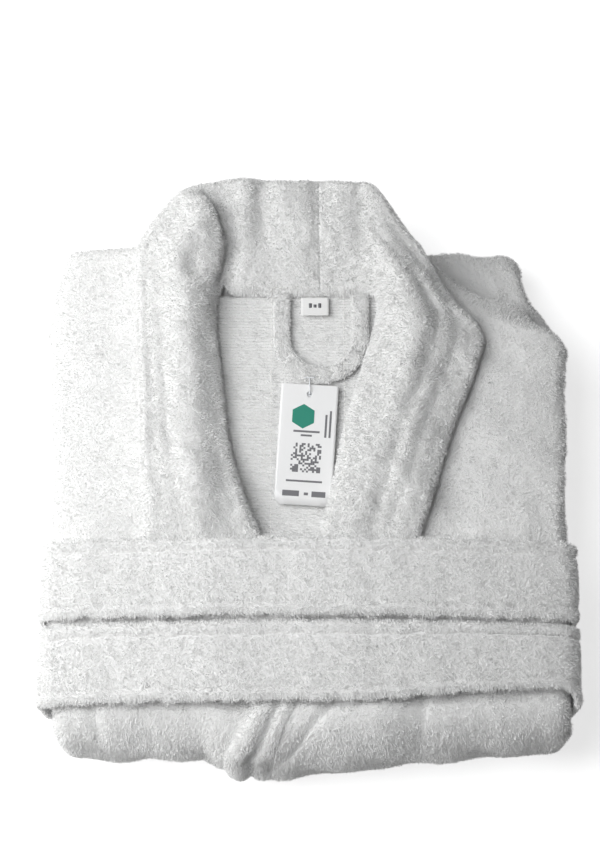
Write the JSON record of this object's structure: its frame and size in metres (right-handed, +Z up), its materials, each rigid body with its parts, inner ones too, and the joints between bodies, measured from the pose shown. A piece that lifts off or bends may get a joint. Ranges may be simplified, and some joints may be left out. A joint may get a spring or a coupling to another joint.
{
  "type": "bathrobe",
  "caption": "White terry bathrobe with a shawl collar, folded into a flat bundle and tied round with its own belt; hanging loop and hang tag in the neck opening.",
  "frame": {"origin": "centre of the bundle's bounding box, on the surface it rests on", "axes": "+Z up through the folded layers, +Y towards the collar, +X towards the wearer's left half"},
  "size_m": [0.3834, 0.437, 0.0934],
  "materials": {
    "white_terry": "cotton terry loops",
    "hanging_loop_cloth": "cotton terry, folded band",
    "woven_label": "satin woven tape",
    "tag_card": "coated card",
    "clear_plastic": "clear nylon"
  },
  "bodies": {
    "root": {"back_panel": "white_terry", "left_front_panel": "white_terry", "right_front_panel": "white_terry", "left_front_facing": "white_terry", "right_front_facing": "white_terry", "left_sleeve": "white_terry", "right_sleeve": "white_terry", "left_cuff": "white_terry", "right_cuff": "white_terry", "left_collar": "white_terry", "right_collar": "white_terry", "left_pocket": "white_terry", "right_pocket": "white_terry", "left_belt_loop": "white_terry", "right_belt_loop": "white_terry", "care_label": "woven_label"},
    "belt": {"belt": "white_terry"},
    "hanging_loop": {"hanging_loop": "hanging_loop_cloth"},
    "size_label": {"size_label": "woven_label"},
    "tag_fastener": {"tag_fastener": "clear_plastic"},
    "hang_tag": {"hang_tag": "tag_card"}
  },
  "joints": [
    {"name": "belt_slide", "type": "slide", "parent": "root", "child": "belt", "axis": [0, -1, 0], "range_m": [0, 0.25]},
    {"name": "hanging_loop_lift", "type": "hinge", "parent": "root", "child": "hanging_loop", "pos_m": [0.009, 0.1295, 0.07265], "axis": [-1, 0, 0], "range_deg": [0, 90]},
    {"name": "size_label_lift", "type": "hinge", "parent": "root", "child": "size_label", "pos_m": [0.005, 0.1285, 0.0718], "axis": [-1, 0, 0], "range_deg": [0, 120]},
    {"name": "tag_swing", "type": "hinge", "parent": "hanging_loop", "child": "tag_fastener", "pos_m": [0.001, 0.0665, 0.0748], "axis": [-1, 0, 0], "range_deg": [0, 80]},
    {"name": "tag_turn", "type": "hinge", "parent": "tag_fastener", "child": "hang_tag", "pos_m": [0.001, 0.0545, 0.073], "axis": [0, 0, 1], "range_deg": [-15, 3]}
  ]
}
